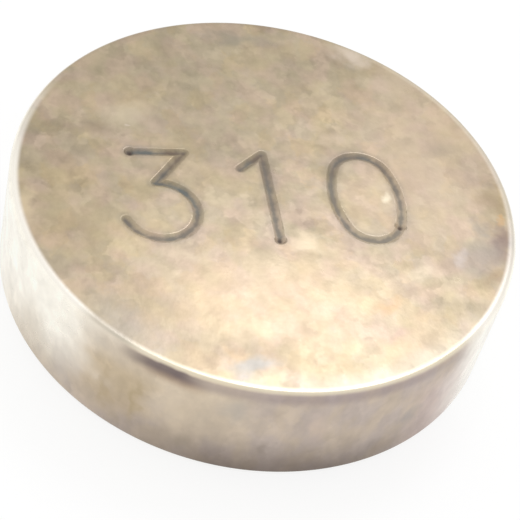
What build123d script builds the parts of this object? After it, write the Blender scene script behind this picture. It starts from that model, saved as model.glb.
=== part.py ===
from build123d import *
import os
from math import atan2, degrees

# Valve shim: a hardened, ground steel disc that sets the gap between a cam and its bucket.
# Millimetres. +Z is up. The origin is the centre of the underside, and the size mark reads along +X.

# Disc
disc_diameter = 13.0
disc_thickness = 3.10
edge_break = 0.15  # radius that takes the sharpness off both rims

# Size mark, measured along the centre-lines of its strokes
digit_height = 2.95
digit_width = 1.77
digit_pitch = 2.67
bowl_radius = 0.94  # lower bowl of a 3 and a 5
oval_end_share = 0.85  # tight end arcs of a 0, as a share of half its width
mark_x = -0.115  # the mark sits a little left of and below the disc's centre
mark_y = -0.19

# Groove left by a round-nosed stylus, with a deeper pit where it plunges in
groove_width = 0.24
groove_depth = 0.06
plunge_depth = 0.10

# The mark is the thickness in hundredths of a millimetre
size_mark = str(round(disc_thickness * 100))

half_width = digit_width / 2
half_height = digit_height / 2
stylus_radius = (groove_width**2 / 4 + groove_depth**2) / (2 * groove_depth)


def joined(*points):
    """Straight runs from point to point."""
    return [Line(start, end) for start, end in zip(points, points[1:])]


def ring(centre_y, radius):
    """A full circle on the digit's middle line, as two half turns that start at its left side."""
    return [CenterArc((0, centre_y), radius, turn, 180) for turn in (180, 0)]


def oval():
    """Four tangent arcs, from the lower right: wide ones at the sides, tight ones at the ends."""
    end_radius = oval_end_share * half_width
    rise = half_height - end_radius
    side_radius = (half_width**2 + rise**2 - end_radius**2) / (2 * (half_width - end_radius))
    inset = side_radius - half_width
    lean = degrees(atan2(rise, inset))
    return [
        CenterArc((-inset, 0), side_radius, -lean, 2 * lean),
        CenterArc((0, rise), end_radius, lean, 180 - 2 * lean),
        CenterArc((inset, 0), side_radius, 180 - lean, 2 * lean),
        CenterArc((0, -rise), end_radius, 180 + lean, 180 - 2 * lean),
    ]


def bowl(start_angle, tail_angle=-160):
    """The open lower bowl of a 3 or a 5, clockwise to its tail at the left."""
    centre = (-0.09 * half_width, bowl_radius - half_height)
    return CenterArc(centre, bowl_radius, start_angle, tail_angle - start_angle)


def strokes_of(digit):
    """A digit's strokes about its own centre, each in order from where the stylus plunges in."""
    w = half_width
    h = half_height
    low_radius = 0.6 * h
    high_radius = h - low_radius
    low_ring = ring(low_radius - h, low_radius)
    if digit == "0":
        return [oval()]
    if digit == "1":
        return [joined((0.165 * w, -h), (0.165 * w, h), (-0.56 * w, 0.64 * h))]
    if digit == "2":
        hook = CenterArc((0, h - w), w, 160, -200)
        return [[hook, *joined(hook @ 1, (-w, -h), (w, -h))]]
    if digit == "3":
        belly = bowl(90)
        return [[*joined((-0.7 * w, h), (0.865 * w, h), belly @ 0), belly]]
    if digit == "4":
        stem_x = 0.35 * w
        bar_y = -0.35 * h
        return [joined((stem_x, h), (-w, bar_y), (w, bar_y)), joined((stem_x, h / 2), (stem_x, -h))]
    if digit == "5":
        belly = bowl(130)
        return [[*joined((0.85 * w, h), (-0.65 * w, h), belly @ 0), belly]]
    if digit == "6":
        shoulder = TangentArc((-low_radius, low_radius - h), (0.6 * w, h), tangent=(0, 1))
        return [[*low_ring, shoulder]]
    if digit == "7":
        return [joined((-w, h), (w, h), (-0.3 * w, -h))]
    if digit == "8":
        return [low_ring, ring(h - high_radius, high_radius)]
    upended = [[Rot(0, 0, 180) * edge for edge in stroke] for stroke in strokes_of("6")]
    return upended  # a 9 is a 6 turned round


def stylus_at(point, depth):
    """The stylus's round nose, cutting to a depth below the top face."""
    return Pos(point.X, point.Y, disc_thickness + stylus_radius - depth) * Sphere(stylus_radius)


def stylus_along(edge):
    """The stylus's path along one edge at the groove's depth."""
    raised = Pos(0, 0, disc_thickness + stylus_radius - groove_depth) * edge
    return sweep(Plane(origin=raised @ 0, z_dir=raised % 0) * Circle(stylus_radius), path=raised)


def cutters_for(stroke):
    """Everything the stylus clears in one stroke: its plunge, its runs, its corners and its exit."""
    cutters = [stylus_at(stroke[0] @ 0, plunge_depth)]
    for edge, following in zip(stroke, [*stroke[1:], None]):
        cutters.append(stylus_along(edge))
        turns = following is not None and (edge % 1 - following % 0).length > 1e-3
        if turns:
            cutters.append(stylus_at(edge @ 1, groove_depth))
    closed = (stroke[-1] @ 1 - stroke[0] @ 0).length < 1e-3
    if not closed:
        cutters.append(stylus_at(stroke[-1] @ 1, groove_depth))
    return cutters


# Plain disc with both rims broken
disc = Cylinder(disc_diameter / 2, disc_thickness, align=(Align.CENTER, Align.CENTER, Align.MIN))
valve_shim = fillet(disc.edges().filter_by(GeomType.CIRCLE), edge_break)

# Size mark in the top face
for place, digit in enumerate(size_mark):
    digit_x = mark_x + (place - (len(size_mark) - 1) / 2) * digit_pitch
    for stroke in strokes_of(digit):
        placed = [Pos(digit_x, mark_y) * edge for edge in stroke]
        for cutter in cutters_for(placed):
            valve_shim -= cutter

os.makedirs("parts", exist_ok=True)
export_step(valve_shim, "parts/valve_shim.step")
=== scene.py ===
from math import cos, pi, radians, sin

import bpy
import numpy as np
from mathutils import Matrix, Vector


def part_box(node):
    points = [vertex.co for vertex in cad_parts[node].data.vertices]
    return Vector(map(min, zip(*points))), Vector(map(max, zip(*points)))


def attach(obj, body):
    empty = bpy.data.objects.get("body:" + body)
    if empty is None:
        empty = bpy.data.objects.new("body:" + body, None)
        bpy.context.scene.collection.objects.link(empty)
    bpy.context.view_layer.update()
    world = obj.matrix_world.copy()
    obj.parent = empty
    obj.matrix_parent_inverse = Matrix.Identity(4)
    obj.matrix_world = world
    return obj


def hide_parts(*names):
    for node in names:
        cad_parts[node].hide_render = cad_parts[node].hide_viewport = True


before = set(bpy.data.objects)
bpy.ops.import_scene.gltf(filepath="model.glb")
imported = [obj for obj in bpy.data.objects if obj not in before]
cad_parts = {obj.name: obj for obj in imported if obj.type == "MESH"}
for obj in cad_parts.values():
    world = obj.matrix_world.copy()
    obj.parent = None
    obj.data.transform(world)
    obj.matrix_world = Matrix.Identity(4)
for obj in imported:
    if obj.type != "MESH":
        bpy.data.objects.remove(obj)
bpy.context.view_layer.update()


# Valve shim
# One disc of hardened steel, ground flat and parallel on both faces, with a plain turned wall and
# blunted rims. A round-nosed stylus has engraved its thickness in hundredths of a millimetre on the
# top face, and hot oil and wear have left it straw-coloured, clouded and stained.
MM = 0.001
low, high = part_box("valve_shim")
rim_radius = (high[0] - low[0]) / 2
top_z = high[2]
rim_break = 0.15 * MM

# The mark, measured along the middle of its strokes
half_width = 0.885 * MM
half_height = 1.475 * MM
digit_pitch = 2.67 * MM
bowl_radius = 0.94 * MM
oval_end_radius = 0.85 * half_width
mark_x = -0.115 * MM
mark_y = -0.19 * MM

# The groove that the stylus cuts, and how far from its middle the dirt can reach
groove_width = 0.24 * MM
groove_depth = 0.06 * MM
plunge_depth = 0.10 * MM
stylus_radius = (groove_width**2 / 4 + groove_depth**2) / (2 * groove_depth)
dirt_reach = 0.32 * MM


def line_distance(x, y, start, end):
    """Distance to a straight stroke: to the nearest point of the run from start to end."""
    run_x = end[0] - start[0]
    run_y = end[1] - start[1]
    along = ((x - start[0]) * run_x + (y - start[1]) * run_y) / (run_x**2 + run_y**2)
    along = np.clip(along, 0, 1)
    return np.hypot(x - start[0] - along * run_x, y - start[1] - along * run_y)


def arc_distance(x, y, centre, radius, start, sweep):
    """Distance to a round stroke: across it within its sweep, and to its nearer end beyond that."""
    turn = (np.degrees(np.arctan2(y - centre[1], x - centre[0])) - start) % 360
    across = np.abs(np.hypot(x - centre[0], y - centre[1]) - radius)
    to_end = np.inf
    for angle in (radians(start), radians(start + sweep)):
        end_x = centre[0] + radius * cos(angle)
        end_y = centre[1] + radius * sin(angle)
        to_end = np.minimum(to_end, np.hypot(x - end_x, y - end_y))
    return np.where(turn <= sweep, across, to_end)


def three(x, y):
    """Bar along the top, slant to the waist, open bowl; the plunge is at the bar's left end."""
    bar_start = (-0.7 * half_width, half_height)
    bar_end = (0.865 * half_width, half_height)
    bowl_centre = (-0.09 * half_width, bowl_radius - half_height)
    waist = (bowl_centre[0], bowl_centre[1] + bowl_radius)
    tail_angle = -160
    bowl_sweep = 250
    path = line_distance(x, y, bar_start, bar_end)
    path = np.minimum(path, line_distance(x, y, bar_end, waist))
    bowl = arc_distance(x, y, bowl_centre, bowl_radius, tail_angle, bowl_sweep)
    return np.minimum(path, bowl), bar_start


def one(x, y):
    """Stem from its plunge at the foot, and a flag down from its head."""
    stem_x = 0.165 * half_width
    foot = (stem_x, -half_height)
    head = (stem_x, half_height)
    flag = (-0.56 * half_width, 0.64 * half_height)
    path = np.minimum(line_distance(x, y, foot, head), line_distance(x, y, head, flag))
    return path, foot


def nought(x, y):
    """Oval of four tangent arcs, tight at the ends and wide at the sides. The plunge is at the
    lower right, where the last arc meets the first."""
    rise = half_height - oval_end_radius
    reach = half_width**2 + rise**2 - oval_end_radius**2
    side_radius = reach / (2 * (half_width - oval_end_radius))
    inset = side_radius - half_width
    lean = np.degrees(np.arctan2(rise, inset))
    end_sweep = 180 - 2 * lean
    arcs = (
        ((-inset, 0), side_radius, -lean, 2 * lean),
        ((0, rise), oval_end_radius, lean, end_sweep),
        ((inset, 0), side_radius, 180 - lean, 2 * lean),
        ((0, -rise), oval_end_radius, 180 + lean, end_sweep),
    )
    path = np.inf
    for arc in arcs:
        path = np.minimum(path, arc_distance(x, y, *arc))
    plunge = (side_radius * cos(radians(lean)) - inset, -side_radius * sin(radians(lean)))
    return path, plunge


def distance_to_mark(x, y):
    """Distances from a point of the top face to the nearest stroke and to the nearest plunge."""
    to_stroke = np.full_like(x, np.inf)
    to_plunge = np.full_like(x, np.inf)
    for place, digit in enumerate((three, one, nought)):
        across = x - mark_x - (place - 1) * digit_pitch
        up = y - mark_y
        path, plunge = digit(across, up)
        to_stroke = np.minimum(to_stroke, path)
        to_plunge = np.minimum(to_plunge, np.hypot(across - plunge[0], up - plunge[1]))
    return to_stroke, to_plunge


def cut(distance, depth):
    """Depth left by the stylus: its round nose, sunk by depth, over the distance from its path."""
    nose = np.sqrt(np.maximum(stylus_radius**2 - distance**2, 0))
    return np.maximum(nose + depth - stylus_radius, 0)


def shim_surface():
    """The disc's skin. A fine rectangular grid under the mark sinks by the mark's depth. Its border
    goes outwards in rings that turn from a rectangle into a circle, then over the rim, down the
    wall, under the lower rim and in to one point at the middle of the underside."""
    step = 0.025 * MM
    grid_half_length = 3.9 * MM
    grid_half_width = 1.75 * MM
    blend_rings = 12
    last_ring = 0.985  # of the way to where the rim's curve starts
    rim_points = 8
    wall_points = 10

    columns = round(2 * grid_half_length / step) + 1
    rows = round(2 * grid_half_width / step) + 1
    xs = mark_x + step * (np.arange(columns) - (columns - 1) / 2)
    ys = mark_y + step * (np.arange(rows) - (rows - 1) / 2)
    x, y = np.meshgrid(xs, ys)
    distances = distance_to_mark(x, y)
    depth = np.maximum(cut(distances[0], groove_depth), cut(distances[1], plunge_depth))
    patch = np.stack([x, y, top_z - depth], -1).reshape(-1, 3)
    index = np.arange(rows * columns).reshape(rows, columns)
    border = np.concatenate([index[:-1, -1], index[-1, :0:-1], index[:0:-1, 0], index[0, :-1]])

    # Profile from the end of the blend, as radius and height: rim, wall, lower rim, underside
    quarter = np.radians(np.linspace(0, 90, rim_points))
    inner = rim_radius - rim_break
    rim_r = inner + rim_break * np.sin(quarter)
    rim_z = top_z - rim_break + rim_break * np.cos(quarter)
    over = np.stack([rim_r, rim_z], -1)
    wall_z = np.linspace(top_z - rim_break, rim_break, wall_points)[1:-1]
    wall = np.stack([np.full_like(wall_z, rim_radius), wall_z], -1)
    under = over[::-1] * (1, -1) + (0, top_z)
    underside_r = inner * np.array([last_ring, 0.8, 0.5, 0.2])
    base = np.stack([underside_r, np.zeros_like(underside_r)], -1)
    profile = np.concatenate([over, wall, under, base])

    # Rings: the flat ones that blend from the grid's border into a circle, then the profile's
    count = len(border)
    angle = 2 * np.pi * (np.arange(count) - (rows - 1) / 2) / count
    circle = np.stack([np.cos(angle), np.sin(angle)], -1)
    blend = np.append(np.linspace(0, 1, blend_rings)[1:-1], last_ring)[:, None, None]
    flat = (1 - blend) * patch[border, :2] + blend * inner * circle
    flat = np.concatenate([flat, np.full((len(blend), count, 1), top_z)], -1)
    swept_z = np.repeat(profile[:, None, 1:], count, 1)
    swept = np.concatenate([profile[:, None, :1] * circle, swept_z], -1)
    rings = np.concatenate([flat, swept])
    points = np.concatenate([patch, rings.reshape(-1, 3), [[0, 0, 0]]])

    # Faces: the grid's squares, the bands between rings, and a fan to the middle of the underside
    grid = np.stack([index[:-1, :-1], index[:-1, 1:], index[1:, 1:], index[1:, :-1]], -1)
    ring_index = len(patch) + np.arange(len(rings) * count).reshape(-1, count)
    loops = np.concatenate([[border], ring_index])
    ahead = np.roll(loops, -1, 1)
    bands = np.stack([loops[:-1], loops[1:], ahead[1:], ahead[:-1]], -1)
    middle = np.full(count, len(points) - 1)
    fan = np.stack([loops[-1], middle, ahead[-1]], -1)
    faces = [*grid.reshape(-1, 4).tolist(), *bands.reshape(-1, 4).tolist(), *fan.tolist()]

    # Nearness to a stroke and to a plunge: 1 on it, 0 beyond the dirt's reach
    near = np.zeros((2, len(points)))
    near[:, : len(patch)] = np.maximum(1 - np.reshape(distances, (2, -1)) / dirt_reach, 0)
    return points, faces, near


points, faces, near = shim_surface()
mesh = bpy.data.meshes.new("shim_skin")
mesh.from_pydata(points.tolist(), [], faces)
mesh.polygons.foreach_set("use_smooth", np.ones(len(mesh.polygons), bool))
for name, values in zip(("near_stroke", "near_plunge"), near):
    attribute = mesh.attributes.new(name, "FLOAT", "POINT")
    attribute.data.foreach_set("value", values.astype(np.float32))
mesh.update()
shim = bpy.data.objects.new("shim_skin", mesh)
bpy.context.collection.objects.link(shim)


class Tone:
    """A value or a colour of a finish. Arithmetic on values adds Math nodes."""

    def __init__(self, socket):
        self.socket = socket

    @staticmethod
    def of(tree, kind, settings, sockets, output=0):
        """Adds a node of a kind: first its settings, then its sockets, as numbers or tones."""
        made = tree.nodes.new(kind)
        for name, value in settings.items():
            setattr(made, name, value)
        for name, value in sockets.items():
            if isinstance(value, Tone):
                tree.links.new(value.socket, made.inputs[name])
            else:
                made.inputs[name].default_value = value
        return Tone(made.outputs[output])

    def math(self, operation, other, swapped=False):
        """One Math node on this value and another, or on the two swapped."""
        pair = (other, self) if swapped else (self, other)
        settings = {"operation": operation}
        return Tone.of(self.socket.id_data, "ShaderNodeMath", settings, dict(enumerate(pair)))

    def __add__(self, other):
        return self.math("ADD", other)

    def __mul__(self, other):
        return self.math("MULTIPLY", other)

    def __sub__(self, other):
        return self.math("SUBTRACT", other)

    def __rsub__(self, other):
        return self.math("SUBTRACT", other, True)

    def __pow__(self, other):
        return self.math("POWER", other)

    __radd__ = __add__
    __rmul__ = __mul__


def seen_as(red, green, blue):
    """A colour given as it looks on a screen, 0 to 255, as the shader's linear value."""
    return (*(((c / 255 + 0.055) / 1.055) ** 2.4 for c in (red, green, blue)), 1)


finish = bpy.data.materials.new("worn_ground_steel")
finish.use_nodes = True
steel = finish.node_tree
surface = steel.nodes["Principled BSDF"]


def mapped(where, **sockets):
    """Places moved, turned or scaled by a Mapping node."""
    return Tone.of(steel, "ShaderNodeMapping", {}, {"Vector": where, **sockets})


def vector_math(operation, *operands):
    """A Vector Math node on places or colours."""
    settings = {"operation": operation}
    return Tone.of(steel, "ShaderNodeVectorMath", settings, dict(enumerate(operands)))


def noise_colour(scale):
    """Noise with three values at each place, each about 0.5."""
    sockets = {"Vector": place, "Scale": scale, "Detail": 3.0}
    return Tone.of(steel, "ShaderNodeTexNoise", {}, sockets, "Color")


def part_of(vector, axis):
    """One of the three values of a place or a colour."""
    return Tone.of(steel, "ShaderNodeSeparateXYZ", {}, {"Vector": vector}, axis)


# Places on the shim in millimetres, the same pushed about for ragged stains, the same drawn out for
# streaks, and the same as distance from the axis and degrees round from the front
object_place = Tone.of(steel, "ShaderNodeTexCoord", {}, {}, "Object")
place = mapped(object_place, Scale=(1 / MM,) * 3)
stain_wander = 0.9
fleck_push = 0.5
wander = vector_math("SUBTRACT", noise_colour(1.6), (0.5,) * 3)
ragged = vector_math("MULTIPLY_ADD", wander, (stain_wander,) * 3, place)
drawn_out = mapped(place, Scale=(1, 0.75, 0.65))
pushed = vector_math("MULTIPLY_ADD", noise_colour(3.5), (fleck_push,) * 3, drawn_out)
across, along, height = (part_of(place, axis) for axis in "XYZ")
out_from_axis = (across * across + along * along) ** 0.5
round_from_front = across.math("ARCTAN2", -1 * along) * (180 / pi)


def cloud(scale, detail, shift, where=place):
    """Soft noise about 0 in patches some 1 / scale millimetres across; shift picks the pattern."""
    moved = mapped(where, Location=(shift, 2 * shift, 0))
    sockets = {"Vector": moved, "Scale": scale, "Detail": detail, "Roughness": 0.55}
    return Tone.of(steel, "ShaderNodeTexNoise", {}, sockets) - 0.5


def flecks(scale):
    """Small ragged patches, each of one value about 0, from the cells of a pushed pattern."""
    settings = {"feature": "SMOOTH_F1"}
    sockets = {"Vector": pushed, "Scale": scale, "Smoothness": 0.35}
    cell = Tone.of(steel, "ShaderNodeTexVoronoi", settings, sockets, "Color")
    return part_of(cell, "X") - 0.5


def ramp(value, start, end):
    """0 up to start, 1 past end, and smooth between."""
    sockets = {"Value": value, "From Min": start, "From Max": end}
    return Tone.of(steel, "ShaderNodeMapRange", {"interpolation_type": "SMOOTHSTEP"}, sockets)


def band(value, rise_from, rise_to, fall_from, fall_to):
    """0, then 1 between rise_to and fall_from, then 0 again."""
    return ramp(value, rise_from, rise_to) * (1 - ramp(value, fall_from, fall_to))


def blot(where, middle, reach, turn=0):
    """1 in the middle of an oval stain, falling to 0 at its edge; its reach is its half-lengths."""
    settings = {"vector_type": "TEXTURE"}
    rotation = (0, 0, radians(turn))
    sockets = {"Vector": where, "Location": middle, "Rotation": rotation, "Scale": reach}
    local = Tone.of(steel, "ShaderNodeMapping", settings, sockets)
    settings = {"operation": "LENGTH"}
    away = Tone.of(steel, "ShaderNodeVectorMath", settings, {0: local}, "Value")
    return 1 - ramp(away, 0.1, 1)


def mix(under, over, share):
    """Colour over laid on colour under by share."""
    return Tone.of(steel, "ShaderNodeMix", {"data_type": "RGBA"}, {0: share, 6: under, 7: over}, 2)


def shade(colour, strength):
    """Colour made lighter or darker by a strength about 1."""
    sockets = {0: colour, "Scale": strength}
    return Tone.of(steel, "ShaderNodeVectorMath", {"operation": "SCALE"}, sockets)


# Ground faces: khaki and a rosier khaki, clouded with straw, in small patches of warmer and of
# greyer steel
khaki = seen_as(173, 159, 133)
rosy_khaki = seen_as(177, 158, 137)
straw = seen_as(179, 163, 130)
warm_steel = seen_as(188, 163, 122)
grey_steel = seen_as(176, 162, 148)
face = mix(khaki, rosy_khaki, ramp(cloud(1.3, 1.5, 11), -0.12, 0.12))
face = mix(face, straw, ramp(cloud(0.7, 2.0, 13), -0.05, 0.15) * 0.6)
patch_look = flecks(2.1)
face = mix(face, warm_steel, ramp(patch_look, 0.08, 0.4) * 0.16)
face = mix(face, grey_steel, ramp(-1 * patch_look, 0.08, 0.4) * 0.18)
wear = 1 + 0.5 * cloud(0.4, 2.0, 3) + 0.5 * cloud(1.5, 2.5, 5)
wear = wear + 0.3 * cloud(4.5, 2.0, 7, drawn_out) + 0.2 * flecks(2.6)
face = shade(face, wear)

# Stains and painted light on the marked face: middle, half-lengths and turn, how they look, and how
# strong they are
top_height = top_z / MM
stain_depth = 0.6
face_stains_and_light = (
    # Broad areas, partly painted highlight and shade: warm at the front and right, dull at the back
    (-0.8, -3.7, 5.0, 2.6, 0, (206, 183, 152), 0.43),
    (4.4, 1.2, 3.0, 4.6, -15, (197, 176, 153), 0.45),
    (-1.0, 4.6, 5.5, 2.4, 0, (150, 142, 118), 0.25),
    (-1.4, 2.0, 3.0, 1.8, 0, (156, 144, 122), 0.3),
    # Burnt oil at the right-hand edge
    (6.0, -0.2, 1.0, 0.6, 80, (142, 124, 96), 0.55),
    (6.25, 0.4, 0.4, 0.3, 80, (124, 104, 94), 0.2),
    (5.95, -0.85, 0.3, 0.14, 80, (198, 156, 104), 0.5),
    (5.9, -1.7, 1.0, 0.6, 75, (122, 104, 98), 0.75),
    (5.2, -2.2, 1.3, 0.8, 30, (150, 142, 132), 0.6),
    (4.65, -2.35, 0.4, 0.25, 60, (190, 181, 174), 0.4),
    (5.4, -2.95, 0.6, 0.45, 40, (156, 132, 108), 0.45),
    (5.4, -1.15, 0.55, 0.35, 60, (140, 134, 132), 0.45),
    (5.0, 1.5, 0.8, 0.5, 0, (148, 136, 122), 0.3),
    # Dull and pale patches at the back
    (0.0, 5.7, 1.5, 0.35, -5, (140, 135, 122), 0.5),
    (-4.1, 2.2, 1.2, 0.5, 25, (146, 134, 110), 0.35),
    (-3.35, 2.65, 1.1, 0.7, 0, (202, 188, 162), 0.6),
    (4.4, 4.2, 1.5, 1.0, 35, (192, 175, 153), 0.5),
    (-3.5, 2.25, 0.12, 0.08, 30, (210, 196, 178), 0.5),
    # Left: straw about the 3, grey towards the front, and a rubbed place at the edge
    (-4.4, -1.2, 1.7, 0.9, -15, (186, 168, 131), 0.35),
    (-2.4, -2.2, 1.0, 0.4, -10, (202, 186, 158), 0.5),
    (-4.2, -4.4, 2.1, 1.1, -45, (168, 160, 149), 0.5),
    (-6.1, -0.6, 0.9, 0.4, 85, (206, 188, 156), 0.8),
    # Single patches here and there
    (3.2, 5.25, 0.9, 0.5, -25, (208, 193, 176), 0.8),
    (-1.35, -3.0, 0.7, 0.4, 0, (166, 148, 124), 0.4),
    (2.8, -5.1, 1.4, 0.5, 25, (172, 152, 130), 0.5),
    (2.0, 1.9, 0.6, 0.4, 0, (194, 176, 152), 0.6),
    (0.4, 2.8, 1.0, 0.5, -20, (150, 137, 115), 0.4),
    (3.75, 0.2, 0.8, 0.35, 80, (168, 150, 126), 0.45),
    (-4.0, 4.65, 0.7, 0.45, 30, (190, 172, 145), 0.5),
    # In and about the 0 and the 1; the small pale one inside the right of the 0 is a painted glint
    (2.2, -0.8, 0.5, 0.45, 30, (160, 142, 118), 0.6),
    (3.15, -0.2, 0.22, 0.26, 0, (220, 208, 182), 0.8),
    (0.65, -1.8, 0.7, 0.55, 0, (212, 194, 164), 0.7),
    (3.4, -2.75, 0.8, 0.4, 20, (208, 192, 164), 0.5),
    (1.7, 0.7, 0.3, 0.4, 0, (150, 142, 116), 0.4),
    # Front edge: a grey-blue spot in a dull ring, and orange ones
    (-1.5, -5.3, 2.2, 1.0, -16, (124, 112, 92), 0.3),
    (-1.3, -5.6, 0.95, 0.38, 10, (160, 154, 143), 1.0),
    (-1.6, -5.2, 0.6, 0.2, -25, (184, 156, 120), 0.35),
    (2.4, -4.75, 0.7, 0.25, 10, (176, 146, 130), 0.4),
    (1.9, -3.6, 0.45, 0.3, 0, (200, 188, 152), 0.5),
    (2.4, -3.75, 0.6, 0.3, 20, (196, 160, 118), 0.4),
)
for x, y, long, wide, lean, look, strength in face_stains_and_light:
    shape = blot(ragged, (x, y, top_height), (long, wide, stain_depth), lean)
    face = mix(face, seen_as(*look), shape * strength)

# A painted highlight makes the face paler towards the rim, a little to the right of the front
face_highlight = seen_as(206, 197, 179)
face_edge_highlight = ramp(out_from_axis, 5.7, 6.3) * band(round_from_front, -8, 8, 30, 62)
face = mix(face, face_highlight, face_edge_highlight * 0.35)

# Turned wall: taupe at the front, and pale at both sides from a painted highlight
taupe = seen_as(206, 190, 172)
grey_taupe = seen_as(198, 184, 174)
sheen_steel = seen_as(255, 250, 238)
foot_shaded_sheen = seen_as(209, 194, 172)
pale_sheen_steel = seen_as(224, 208, 184)
rosy_sheen_steel = seen_as(212, 192, 186)
brown_oil = seen_as(198, 176, 138)
wall = mix(taupe, grey_taupe, ramp(cloud(1.5, 3.0, 17, drawn_out), -0.15, 0.15))
sway = round_from_front + 14 * cloud(0.8, 2.0, 29)
foot = 1 - ramp(height + 0.5 * cloud(1.2, 2.0, 37), -0.4, 1.9)
# Painted highlight: both sides of the wall are painted pale, less so towards the back
side_sheen = ramp(sway - 5 * height, -45, -73) + ramp(sway, 32, 48)
side_sheen = side_sheen * (1 - 0.75 * (ramp(sway, 72, 125) + ramp(sway, -108, -150)))
# Towards the foot the pale sides turn beige: painted shade as well
sheen_foot_shade = foot * band(sway, -95, -66, 20, 40)
wall = mix(wall, mix(sheen_steel, foot_shaded_sheen, sheen_foot_shade), side_sheen)
# Painted highlight fading from the pale left side towards the front, and a rosy tone low on the
# right, partly painted highlight
pale_sheen = band(sway, -62, -34, -20, -6) * ramp(height, 0.4, 2.0)
wall = mix(wall, pale_sheen_steel, pale_sheen * 0.75)
rosy_sheen = band(sway, 22, 32, 38, 52) * (1 - ramp(height, 1.5, 3.0))
wall = mix(wall, rosy_sheen_steel, rosy_sheen * 0.6)
brown = band(sway, -50, -43, -37, -29) * band(height, 0.2, 1.2, 2.0, 2.7)
wall = mix(wall, brown_oil, brown * 0.5)

# Painted shade rises from the wall's foot, darkest at the front, and streaks run up and down
foot_shade_look = seen_as(94, 81, 74)
foot_shade = foot * (0.12 * band(sway, -80, -60, 38, 52) + 0.75 * band(sway, -52, -10, 5, 42))
wall = mix(wall, foot_shade_look, foot_shade)
streaks = 0.2 * cloud(1.6, 2.5, 19, drawn_out) + 0.25 * cloud(3.6, 2.0, 21, drawn_out)
streaks = streaks + 0.1 * flecks(2.3)
wall = shade(wall, 1 + streaks)

# A painted shade line under the rim at the front, and a dark patch in a brown ring at its left
brown_ring = seen_as(160, 130, 104)
rim_shade_look = seen_as(146, 131, 138)
dark_patch_look = seen_as(102, 89, 95)
ragged_height = height + 0.15 * cloud(1.5, 2.0, 41)
ring = band(round_from_front, -40, -30, -26, -20) * band(ragged_height, 2.45, 2.75, 2.8, 3.0)
wall = mix(wall, brown_ring, ring * 0.5)
rim_shade_line = band(height, 2.6, 2.92, 3.02, 3.08) * band(round_from_front, -32, -20, 20, 40)
wall = mix(wall, rim_shade_look, rim_shade_line * 0.42)
dark_patch = band(round_from_front, -44, -33, -28, -20) * band(ragged_height, 2.6, 2.95, 3.03, 3.1)
wall = mix(wall, dark_patch_look, dark_patch * 0.8)

# Stains on the wall: degrees from the front and height, half-lengths, how they look, and how strong
ragged_degrees = round_from_front + 8 * cloud(1.6, 2.0, 61)
ragged_climb = height + 0.4 * cloud(1.6, 2.0, 67)
unrolled = {"X": ragged_degrees, "Y": ragged_climb, "Z": 0.0}
unrolled = Tone.of(steel, "ShaderNodeCombineXYZ", {}, unrolled)
wall_stains = (
    (-15, 2.25, 4.0, 0.7, (186, 180, 172), 0.5),
    (-27, 1.6, 2.6, 1.1, (222, 206, 182), 0.4),
    (-36, 1.4, 1.6, 1.2, (180, 162, 128), 0.5),
    (-43, 1.3, 1.8, 1.1, (184, 164, 130), 0.45),
    (-7, 1.0, 1.6, 0.45, (120, 110, 94), 0.22),
    (3, 1.9, 3.5, 1.0, (218, 198, 184), 0.35),
    (27, 1.4, 2.8, 0.5, (172, 164, 160), 0.5),
    (21, 0.5, 5.0, 0.7, (146, 130, 116), 0.35),
    (-24, 0.6, 3.0, 0.6, (150, 140, 124), 0.3),
    (-67, 1.1, 8.0, 1.2, (198, 184, 164), 0.4),
    (-18, 1.8, 12.0, 1.0, (170, 156, 144), 0.2),
)
for x, y, long, wide, look, strength in wall_stains:
    shape = blot(unrolled, (x, y, 0), (long, wide, 1))
    wall = mix(wall, seen_as(*look), shape * strength)

# Painted highlight on the rims, brighter than the face: less at the right and by the wall's dark
# patch, and not at the back
dull_rim_highlight = seen_as(238, 227, 202)
bright_rim_highlight = seen_as(250, 245, 235)
side = ramp(out_from_axis, 6.4, 6.47)
rim_highlight = band(sway, -140, -90, 45, 90) + 0.5 * band(sway, 45, 90, 120, 165)
rim_highlight = rim_highlight * ramp(out_from_axis, 6.22, 6.38)
rim_highlight = rim_highlight * (1 - 0.5 * band(round_from_front, -54, -48, -42, -36))
rim_highlight_look = mix(dull_rim_highlight, bright_rim_highlight, side_sheen)
steel_colour = mix(mix(face, rim_highlight_look, rim_highlight * (0.75 + 0.2 * side_sheen)), wall, side)

# Dried oil and grinding dust in the engraving: a faint smear about it and a dark middle, with a
# painted highlight on the flanks and in paler dust towards the lower right, and dark brown where
# the stylus plunged
green_dust = seen_as(94, 104, 104)
brown_dust = seen_as(112, 96, 82)
sheen_dust = seen_as(144, 136, 124)
burnt = seen_as(74, 52, 42)
near_stroke, near_plunge = (
    Tone.of(steel, "ShaderNodeAttribute", {"attribute_name": name}, {}, "Fac")
    for name in ("near_stroke", "near_plunge")
)
rough_line = near_stroke * (1 + 0.6 * cloud(4.0, 2.0, 53))
towards_lower_right = 0.3 * across - along
dust = mix(green_dust, brown_dust, ramp(cloud(0.8, 2.0, 47), -0.15, 0.15))
dust = mix(dust, sheen_dust, ramp(towards_lower_right, -2.0, 2.5))
thick = 0.9 + 0.9 * cloud(1.4, 2.5, 59)
steel_colour = mix(steel_colour, dust, ramp(rough_line, 0.04, 0.56) * 0.27 * thick)
flank_highlight = band(rough_line, 0.52, 0.62, 0.78, 0.95) * ramp(towards_lower_right, -1.0, 2.0)
steel_colour = shade(steel_colour, 1 + 0.45 * flank_highlight)
steel_colour = mix(steel_colour, dust, ramp(rough_line, 0.65, 1.02) * thick)
steel_colour = mix(steel_colour, burnt, ramp(near_plunge, 0.66, 0.95) * 0.8)

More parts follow.
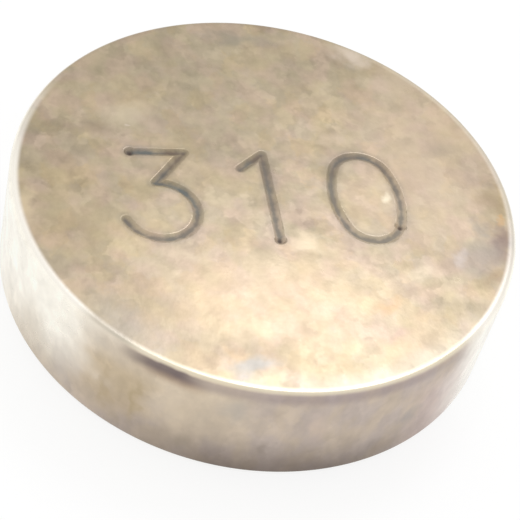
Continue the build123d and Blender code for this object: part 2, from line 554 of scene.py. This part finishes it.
# The dust hides the metal, the clean steel shines most, and fine pits break up the gloss
matt = ramp(rough_line, 0.5, 0.8)
metal = 1 - 0.85 * matt
dull = 0.31 + 0.16 * cloud(2.2, 3.0, 23, drawn_out) + side * (0.14 - 0.2 * side_sheen) + 0.3 * matt
pits = {"Height": cloud(9.0, 3.0, 31, drawn_out), "Strength": 0.08, "Distance": 0.02 * MM}
pitted = Tone.of(steel, "ShaderNodeBump", {}, pits)
looks = {"Base Color": steel_colour, "Metallic": metal, "Roughness": dull, "Normal": pitted}
for name, look in looks.items():
    steel.links.new(look.socket, surface.inputs[name])
mesh.materials.append(finish)

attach(shim, "root")
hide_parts("valve_shim")


# Floor
# A plain pale board. Its own colour is nearly white, and what sees it directly gets it brought up
# to white, so that the shim's shadow stays on it.
board_half = 300 * MM
board_colour = (0.86, 0.86, 0.85, 1)
white_share = 0.72
white_strength = 1.1  # with the board's own share, what is seen directly comes to about 1
board_mesh = bpy.data.meshes.new("floor")
corners = [(x * board_half, y * board_half, 0) for x, y in ((-1, -1), (1, -1), (1, 1), (-1, 1))]
board_mesh.from_pydata(corners, [], [(0, 1, 2, 3)])
board = bpy.data.objects.new("floor", board_mesh)
bpy.context.collection.objects.link(board)


def seen_directly(tree):
    """1 for rays from the camera, off a shiny surface or through glass, 0 for scattered light."""
    camera, glossy, clear = (
        Tone.of(tree, "ShaderNodeLightPath", {}, {}, f"Is {kind} Ray")
        for kind in ("Camera", "Glossy", "Transmission")
    )
    return camera + glossy + clear


board_finish = bpy.data.materials.new("pale_board")
board_finish.use_nodes = True
board_tree = board_finish.node_tree
board_surface = board_tree.nodes["Principled BSDF"]
board_surface.inputs["Base Color"].default_value = board_colour
board_surface.inputs["Roughness"].default_value = 1.0
board_surface.inputs["Specular IOR Level"].default_value = 0.0
lit_board = Tone(board_surface.outputs[0])
white = {"Color": (1, 1, 1, 1), "Strength": white_strength}
white = Tone.of(board_tree, "ShaderNodeEmission", {}, white)
lifted = {0: seen_directly(board_tree) * white_share, 1: lit_board, 2: white}
board_look = Tone.of(board_tree, "ShaderNodeMixShader", {}, lifted)
board_tree.links.new(board_look.socket, board_tree.nodes["Material Output"].inputs["Surface"])
board_mesh.materials.append(board_finish)


# Light
# An even white room, which lights at a little less than the brightness it shows, and one small soft
# lamp high behind the shim and to its right, which faces the middle of its top.
room_light = 0.85
world = bpy.data.worlds.new("room")
bpy.context.scene.world = world
world.use_nodes = True
room = world.node_tree
room_colour = seen_directly(room) * (1 - room_light) + room_light
room.links.new(room_colour.socket, room.nodes["Background"].inputs["Color"])

lamp_heading = radians(58)  # from +X
lamp_elevation = radians(57.5)
lamp_distance = 70 * MM
lamp = bpy.data.lights.new("high_lamp", "AREA")
lamp.size = 22 * MM
lamp.energy = 0.0055
lamp.color = (0.95, 0.97, 1.1)
to_lamp = Vector(
    (
        cos(lamp_heading) * cos(lamp_elevation),
        sin(lamp_heading) * cos(lamp_elevation),
        sin(lamp_elevation),
    )
)
lamp_holder = bpy.data.objects.new("high_lamp", lamp)
lamp_holder.location = Vector((0, 0, top_z)) + lamp_distance * to_lamp
lamp_holder.rotation_mode = "QUATERNION"
lamp_holder.rotation_quaternion = to_lamp.to_track_quat("Z", "Y")
lamp_holder.visible_camera = False
bpy.context.collection.objects.link(lamp_holder)


# Camera
# Looks down on the mark from the front left, a little rolled, as in the photograph. Its place is
# given from the middle of the top face, and then its aim is turned away from there.
view_heading = -20.5
view_elevation = 44.17
view_distance = 43.08 * MM
roll = 15.59
pan = 0.283
tilt = -2.337
lens_pixels = 1705.0
frame_pixels = 520
sensor_width = 36
camera_data = bpy.data.cameras.new("camera")
camera_data.sensor_width = sensor_width
camera_data.lens = sensor_width * lens_pixels / frame_pixels
camera_data.clip_start = 1 * MM
camera_data.clip_end = 2
camera = bpy.data.objects.new("camera", camera_data)
bpy.context.collection.objects.link(camera)
turn = Matrix.Rotation(radians(view_heading), 4, "Z")
turn = turn @ Matrix.Rotation(radians(90 - view_elevation), 4, "X")
aim = Matrix.Rotation(radians(roll), 4, "Z") @ Matrix.Rotation(radians(pan), 4, "Y")
aim = aim @ Matrix.Rotation(radians(tilt), 4, "X")
back = turn @ Vector((0, 0, view_distance))
camera.matrix_world = Matrix.Translation(Vector((0, 0, top_z)) + back) @ turn @ aim
bpy.context.scene.camera = camera
bpy.context.scene.view_settings.view_transform = "Standard"
